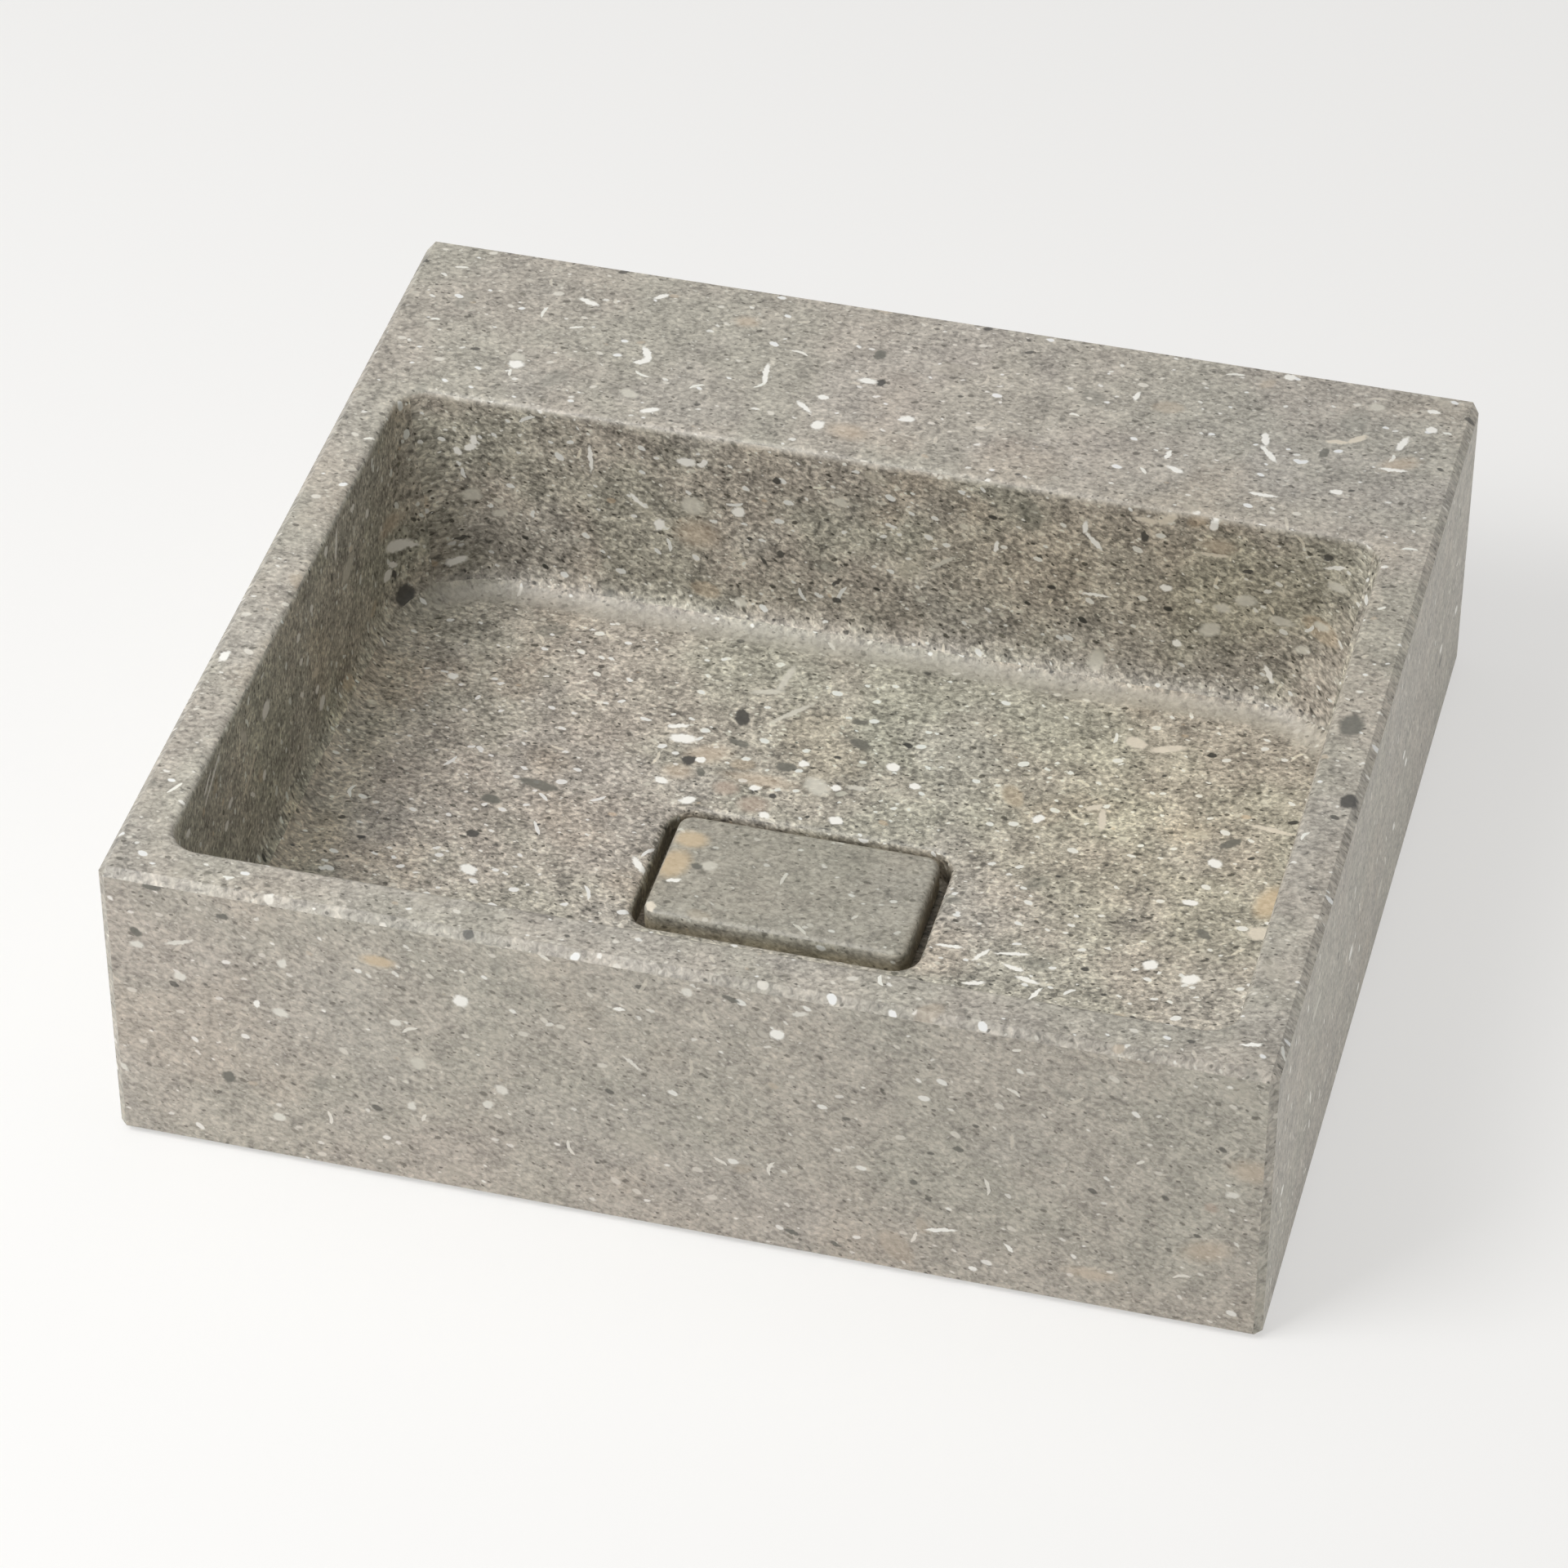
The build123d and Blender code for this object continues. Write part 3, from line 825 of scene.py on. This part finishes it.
def turned_metal(name, look):
    """Metal with the fine rings that a turning tool leaves, and faint clouding from handling."""
    dull, bright, smooth, rough, ring = look
    made, tree, surface, place = material(name)
    surface.inputs["Metallic"].default_value = 1.0
    rings = tree.rings(round_the_drain(tree, place), ring)
    cloud = tree.noise(place, metal_cloud_size, 4.0, 0.6, solid=True)
    colour = tree.blend(tree.ramp(cloud, *metal_cloud_limits), tint(*dull), tint(*bright))
    grooves = tree.ramp(rings, *metal_ring_limits, 0.0, metal_ring_share)
    colour = tree.blend(grooves, colour, tint(*dull))
    worn = tree.math("MULTIPLY_ADD", cloud, metal_wear, -metal_wear / 2)
    roughness = tree.math("ADD", tree.between(rings, smooth, rough), worn)
    finish(tree, surface, colour, roughness, rings, metal_relief)
    return made


def let_light_in(surface, glow):
    """Makes a shader slightly milky. The glow is its weight and its depth in metres."""
    weight, depth = glow
    surface.inputs["Subsurface Weight"].default_value = weight
    surface.inputs["Subsurface Scale"].default_value = depth


def silicone(name):
    """Cloudy grey silicone with a skin of fine dust."""
    made, tree, surface, place = material(name)
    let_light_in(surface, silicone_glow)
    cloud = tree.noise(place, silicone_cloud_size, 3.0, 0.55, solid=True)
    dust = tree.noise(place, silicone_dust_size, 2.0, 0.6, solid=True)
    cloudy = tree.ramp(cloud, *cloud_limits)
    colour = tree.blend(cloudy, tint(*silicone_dull), tint(*silicone_clear))
    dusty = tree.ramp(dust, *silicone_dust_limits, 0.0, silicone_dust_share)
    colour = tree.blend(dusty, colour, tint(*silicone_dust))
    finish(tree, surface, colour, tree.between(dust, *silicone_roughness), cloud, silicone_relief)
    return made


def rubber(name):
    """Black moulded rubber, slightly grey where it has rubbed."""
    made, tree, surface, place = material(name)
    grain = tree.noise(place, rubber_grain_size, 3.0, 0.65, solid=True)
    rub = tree.noise(place, rubber_rub_size, 4.0, 0.6, solid=True)
    rubbed = tree.ramp(rub, *rubber_rub_limits)
    colour = tree.blend(rubbed, tint(*rubber_black), tint(*rubber_rubbed))
    dusty = tree.ramp(grain, *rubber_grain_limits, 0.0, rubber_grain_share)
    colour = tree.blend(dusty, colour, tint(*rubber_dust))
    finish(tree, surface, colour, tree.between(grain, *rubber_roughness), grain, rubber_relief)
    return made


def nylon(name):
    """Natural nylon, milky, with faint turning rings."""
    made, tree, surface, place = material(name)
    let_light_in(surface, nylon_glow)
    rings = tree.rings(round_the_drain(tree, place), nylon_ring_size)
    cloud = tree.noise(place, nylon_cloud_size, 3.0, 0.55, solid=True)
    cloudy = tree.ramp(cloud, *cloud_limits)
    colour = tree.blend(cloudy, tint(*nylon_dull), tint(*nylon_clear))
    grooves = tree.ramp(rings, *nylon_ring_limits, 0.0, nylon_ring_share)
    colour = tree.blend(grooves, colour, tint(*nylon_groove))
    finish(tree, surface, colour, tree.between(rings, *nylon_roughness), rings, nylon_relief)
    return made


def seen_or_reflected(tree):
    """1 for rays from the camera and for reflections in gloss, and 0 for the light on the object."""
    rays = tree.node("ShaderNodeLightPath").outputs
    return tree.math("MAXIMUM", rays["Is Camera Ray"], rays["Is Glossy Ray"])


def stage():
    """A plain pale floor. The camera and gloss see it a little lighter than it lights the object."""
    bpy.ops.mesh.primitive_plane_add(size=2 * floor_half, location=(0.0, 0.0, -floor_gap))
    floor = bpy.context.object
    floor.name = "stage_floor"
    paint = bpy.data.materials.new("stage_white")
    paint.use_nodes = True
    tree = Tree(paint.node_tree)
    surface = paint.node_tree.nodes["Principled BSDF"]
    surface.inputs["Base Color"].default_value = floor_white
    surface.inputs["Roughness"].default_value = 1.0
    surface.inputs["Specular IOR Level"].default_value = 0.0
    glow = tree.node("ShaderNodeEmission", {"Color": floor_glow})
    lift = tree.math("MULTIPLY", seen_or_reflected(tree), floor_lift)
    mixed = tree.node("ShaderNodeMixShader", {0: lift, 1: surface.outputs[0], 2: glow.outputs[0]})
    tree.feed(paint.node_tree.nodes["Material Output"].inputs[0], mixed.outputs[0])
    floor.data.materials.append(paint)


def sky():
    """A faint even sky, which is seen as a pale backdrop."""
    world = bpy.data.worlds.new("sky")
    bpy.context.scene.world = world
    world.use_nodes = True
    tree = Tree(world.node_tree)
    background = world.node_tree.nodes["Background"]
    background.inputs["Color"].default_value = sky_colour
    strength = tree.between(seen_or_reflected(tree), sky_strength, backdrop_brightness)
    tree.feed(background.inputs["Strength"], strength)


def lights():
    """The panels of soft light, each turned towards the object."""
    for name, (place, size, power) in panels.items():
        light = bpy.data.lights.new(name, "AREA")
        light.shape = "RECTANGLE"
        light.size, light.size_y = size
        light.energy = power
        lamp = bpy.data.objects.new(name, light)
        bpy.context.scene.collection.objects.link(lamp)
        lamp.location = place
        lamp.rotation_euler = (Vector(place) - light_aim).to_track_quat("Z", "Y").to_euler()
        lamp.visible_camera = False


def camera():
    """The photograph's camera."""
    azimuth, elevation = radians(camera_azimuth), radians(camera_elevation)
    back = Vector((sin(azimuth) * cos(elevation), -cos(azimuth) * cos(elevation), sin(elevation)))
    data = bpy.data.cameras.new("camera")
    data.lens = camera_lens
    data.sensor_width = camera_sensor
    data.clip_start, data.clip_end = camera_clip
    made = bpy.data.objects.new("camera", data)
    bpy.context.scene.collection.objects.link(made)
    made.location = camera_aim + back * camera_distance
    made.rotation_euler = (radians(90) - elevation, 0.0, azimuth)
    bpy.context.scene.camera = made


def dress(nodes, look):
    """Gives CAD nodes a material."""
    for name in nodes:
        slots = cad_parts[name].data.materials
        slots.clear()
        slots.append(look)


stage()
sky()
lights()
camera()
stone_places()
stone_pattern()

# Each face of the block has its own band for marks and drifts. The drain cover's right side has
# one too, because it faces the photograph's camera.
front_band = ahead_band
back_wall_band = ahead_band + 2 * mark_rise
left_wall_band = beside_band + mark_rise
cover_right_band = beside_band + 2 * mark_rise
right_band = beside_band + 3 * mark_rise
marks_by_band = (
    (0.0, top_marks), (front_band, front_marks), (back_wall_band, back_wall_marks),
    (left_wall_band, left_wall_marks), (right_band, right_marks),
)
drifts_by_band = (
    (0.0, top_drifts), (front_band, front_drifts), (back_wall_band, back_wall_drifts),
    (left_wall_band, left_wall_drifts),
)
block_marks = stone_marks("block_marks", lifted(marks_by_band), lifted(drifts_by_band))
# The cover's right side band carries only painted shade
slab_painted_shade = lifted(((cover_right_band, cover_side_painted_shade),))
slab_marks = stone_marks("cover_marks", cover_marks, slab_painted_shade)

block_stone = stone_material("stone", block_marks, bowl_contrast, bowl_painted_shade, recess_painted_shade)
slab_stone = stone_material("stone_cover", slab_marks, cover_contrast, cover_tone, cover_shade_and_stain)
dress(["basin_block"], block_stone)
dress(["drain_cover"], slab_stone)
dress(["waste_body", "strainer_plate", "strainer_screw"], turned_metal("steel", steel_look))
dress(["back_nut"], turned_metal("brass", brass_look))
dress(["cover_pad_1", "cover_pad_2", "cover_pad_3", "cover_pad_4"], silicone("silicone"))
dress(["flange_gasket", "nut_gasket"], rubber("rubber"))
dress(["slip_washer"], nylon("nylon"))

bpy.context.scene.view_settings.view_transform = "Standard"
